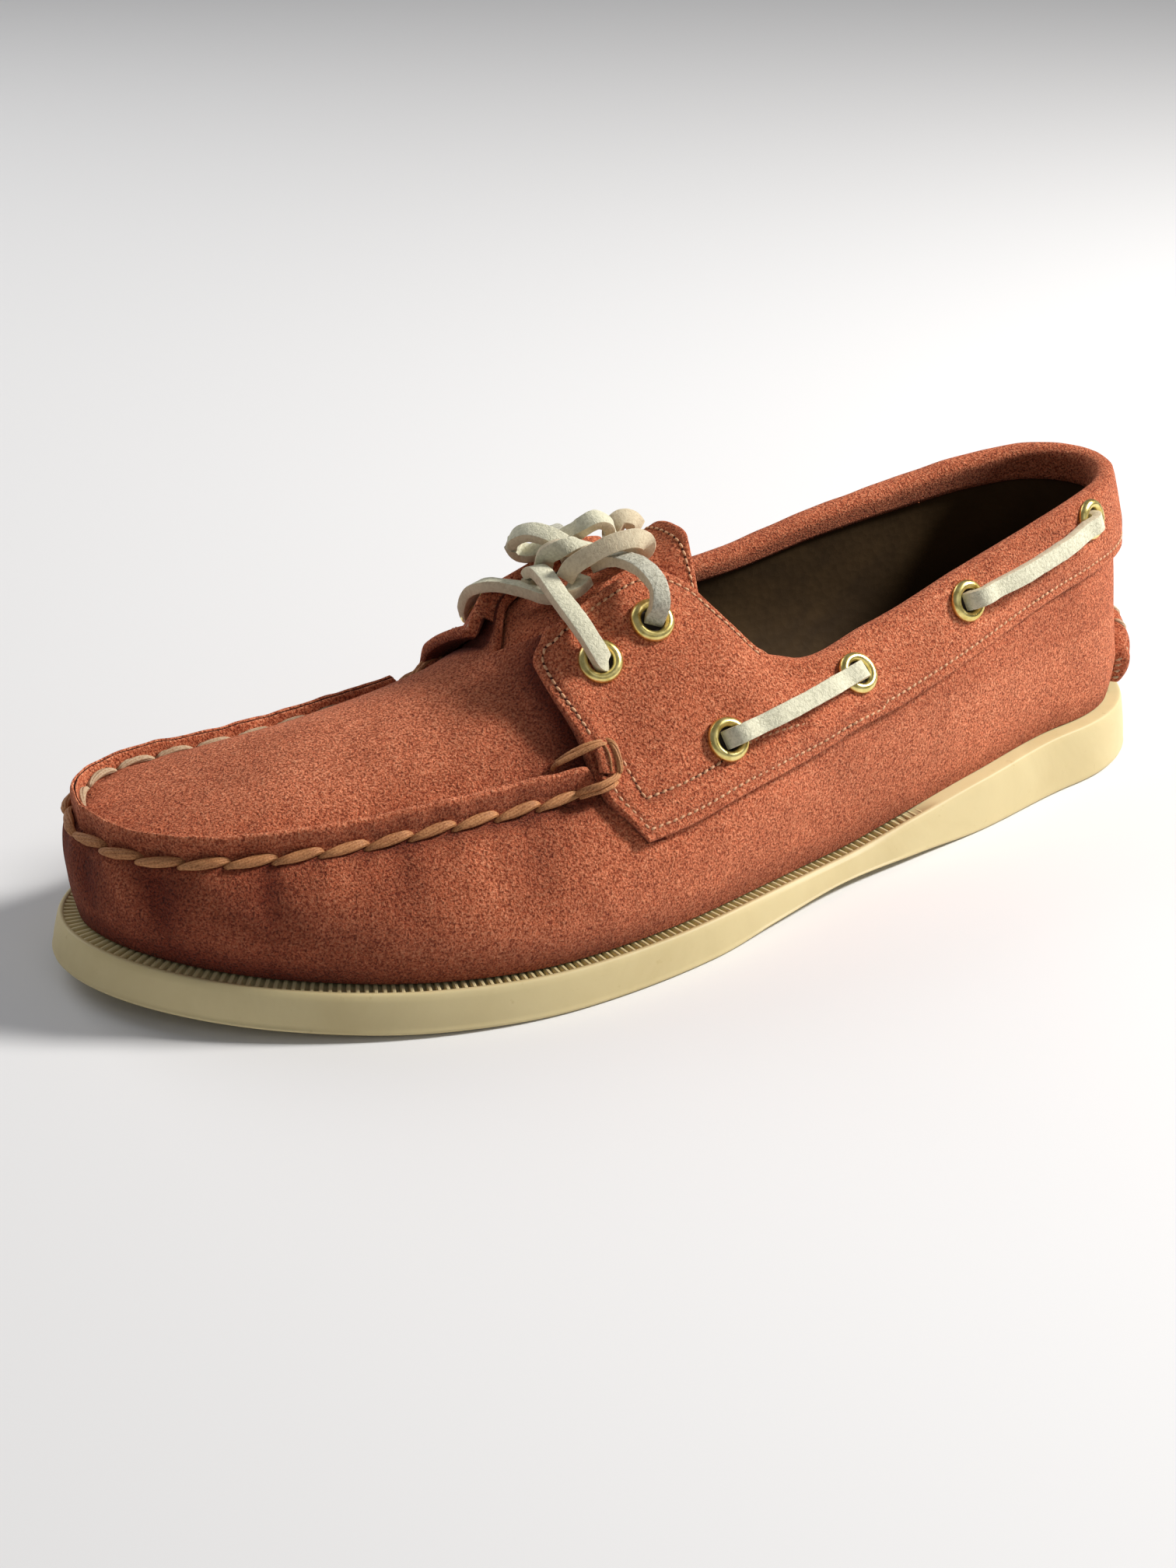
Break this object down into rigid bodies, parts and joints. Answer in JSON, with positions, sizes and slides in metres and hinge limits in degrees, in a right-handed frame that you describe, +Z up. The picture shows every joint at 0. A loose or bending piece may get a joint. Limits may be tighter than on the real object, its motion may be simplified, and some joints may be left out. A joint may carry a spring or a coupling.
{
  "type": "boat shoe",
  "caption": "Left boat shoe in suede: moccasin toe with a raised ring seam, laced saddle with side laces through the collar band, flat rubber sole, open collar and hollow inside.",
  "frame": {"origin": "centre of the sole's outline on the floor", "axes": "+X towards the toe, +Y towards the outer side of the foot, +Z up"},
  "size_m": [0.2994, 0.112, 0.0887],
  "materials": {
    "suede_coral": "napped suede",
    "suede_saddle": "napped suede",
    "suede_tongue": "napped suede",
    "suede_heel_patch": "napped suede",
    "insole_leather": "smooth satin",
    "lace_hide": "raw-edged hide lace",
    "rubber_cream": "matt moulded rubber",
    "eyelet_brass": "polished, lightly worn"
  },
  "bodies": {
    "root": {"sole": "rubber_cream", "insole": "insole_leather", "upper": "suede_coral", "saddle": "suede_saddle", "heel_patch": "suede_heel_patch", "tongue": "suede_tongue", "eyelet_low_outer": "eyelet_brass", "eyelet_low_inner": "eyelet_brass", "eyelet_up_outer": "eyelet_brass", "eyelet_up_inner": "eyelet_brass", "eyelet_side1_outer": "eyelet_brass", "eyelet_side1_inner": "eyelet_brass", "eyelet_side2_outer": "eyelet_brass", "eyelet_side2_inner": "eyelet_brass", "eyelet_side3_outer": "eyelet_brass", "eyelet_side3_inner": "eyelet_brass", "eyelet_side4_outer": "eyelet_brass", "eyelet_side4_inner": "eyelet_brass", "lace_outer_front": "lace_hide", "lace_outer_back": "lace_hide", "lace_inner_front": "lace_hide", "lace_inner_back": "lace_hide", "lace_front": "lace_hide", "lace_knot": "lace_hide", "lace_loop_near": "lace_hide", "lace_loop_far": "lace_hide", "lace_end_near": "lace_hide", "lace_end_far": "lace_hide"}
  },
  "joints": []
}
